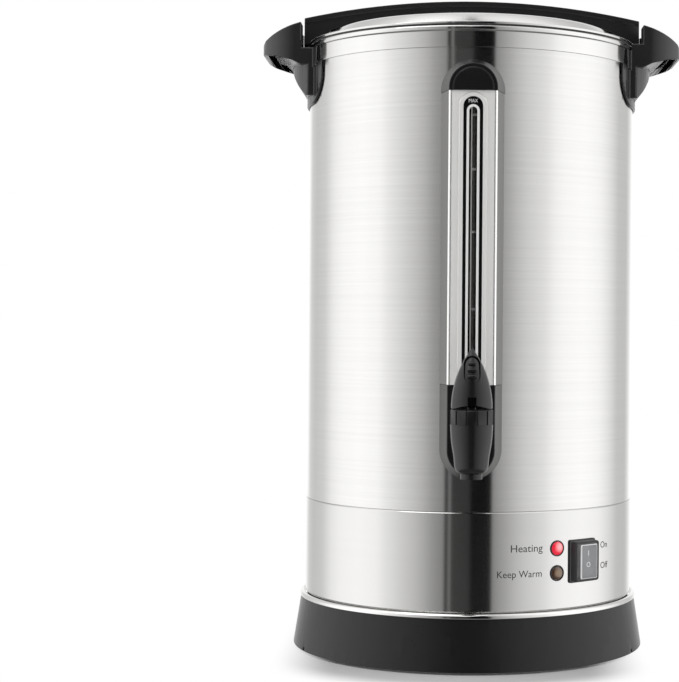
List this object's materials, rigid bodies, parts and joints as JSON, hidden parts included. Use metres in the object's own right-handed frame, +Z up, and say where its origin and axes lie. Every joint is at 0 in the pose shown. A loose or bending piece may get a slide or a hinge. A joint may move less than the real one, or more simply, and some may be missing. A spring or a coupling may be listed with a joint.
{
  "type": "coffee urn",
  "caption": "Tall brushed-steel percolating coffee urn with a front level gauge, lever tap, side handles, base switch and lamps, and a lid locked by a carrying bar.",
  "frame": {"origin": "centre of the base at table level", "axes": "+Z up, -Y towards the tap and gauge, +X to the right of someone facing the tap"},
  "size_m": [0.3188, 0.3337, 0.495],
  "materials": {
    "brushed_steel": "fine horizontal brushing",
    "inner_steel": "plain drawn steel",
    "plated_sheet": "zinc plated",
    "bright_trim": "bright",
    "element_sheath": "dull heated sheath",
    "black_plastic": "fine satin moulding",
    "matte_black_plastic": "matte",
    "red_lens": "translucent red",
    "amber_lens": "translucent amber",
    "grey_plastic": "satin",
    "clear_cover": "clear flexible cover",
    "gauge_glass": "clear glass tube",
    "brass": "machined",
    "rubber": "matte",
    "white_rubber": "food-grade silicone",
    "lead_sleeve": "woven heat-proof sleeve"
  },
  "bodies": {
    "urn": {"base_band": "brushed_steel", "base_plate": "plated_sheet", "base_screws": "inner_steel", "base_skirt": "black_plastic", "basket_cover": "inner_steel", "cap_screw": "inner_steel", "coffee_basket": "inner_steel", "element_straps": "plated_sheet", "gauge_cap": "black_plastic", "gauge_cover": "brushed_steel", "gauge_glass": "gauge_glass", "gauge_manifold": "matte_black_plastic", "gauge_scale": "matte_black_plastic", "gauge_seals": "rubber", "handle_inserts": "brass", "handle_left": "black_plastic", "handle_right": "black_plastic", "handle_screws": "inner_steel", "heat_lamp": "red_lens", "heating_element": "element_sheath", "inlet_pins": "brass", "inlet_screws": "inner_steel", "keep_warm_element": "element_sheath", "lamp_bezels": "matte_black_plastic", "lamp_nuts": "matte_black_plastic", "outlet_nut": "inner_steel", "outlet_seals": "rubber", "power_inlet": "matte_black_plastic", "pump_foot": "inner_steel", "pump_tube": "inner_steel", "rubber_feet": "rubber", "screw_washers": "white_rubber", "support_brackets": "plated_sheet", "switch_cover": "clear_cover", "switch_housing": "matte_black_plastic", "tank": "brushed_steel", "tank_collar": "brushed_steel", "tap_block": "black_plastic", "tap_body": "black_plastic", "tap_bonnet": "black_plastic", "tap_spring": "inner_steel", "terminal_block": "matte_black_plastic", "thermal_cutout": "plated_sheet", "thermostat": "plated_sheet", "trim_ring": "bright_trim", "warm_lamp": "amber_lens", "wiring_leads": "lead_sleeve"},
    "lid_gasket": {"lid_gasket": "rubber"},
    "lid": {"lid_pan": "brushed_steel", "lid_liner": "inner_steel", "lid_bar": "black_plastic", "lid_bar_screws": "inner_steel"},
    "tap_stem": {"tap_stem": "inner_steel", "seat_cup": "white_rubber", "lever_pin": "inner_steel"},
    "tap_lever": {"tap_lever": "black_plastic"},
    "switch_rocker": {"switch_rocker": "grey_plastic"}
  },
  "joints": [
    {"name": "lid_lift", "type": "slide", "parent": "urn", "child": "lid_gasket", "axis": [0, 0, 1], "range_m": [0, 0.12]},
    {"name": "lid_turn", "type": "hinge", "parent": "lid_gasket", "child": "lid", "pos_m": [0, 0, 0.46], "axis": [0, 0, 1], "range_deg": [0, 12]},
    {"name": "stem_lift", "type": "slide", "parent": "urn", "child": "tap_stem", "axis": [0, 0, 1], "range_m": [0, 0.00321], "deforming": ["tap_spring"]},
    {"name": "lever_pull", "type": "hinge", "parent": "tap_stem", "child": "tap_lever", "pos_m": [0, -0.185, 0.2067], "axis": [1, 0, 0], "range_deg": [0, 40], "stiffness_Nm_per_rad": 0.15, "springref_deg": -11.46},
    {"name": "rocker_tilt", "type": "hinge", "parent": "urn", "child": "switch_rocker", "pos_m": [0.08041, -0.09583, 0.0764], "axis": [0.766, 0.6428, 0], "range_deg": [0, 16]}
  ],
  "couplings": [
    {"joint": "lever_pull", "follows": "stem_lift", "rad_per_m": 217.2}
  ]
}
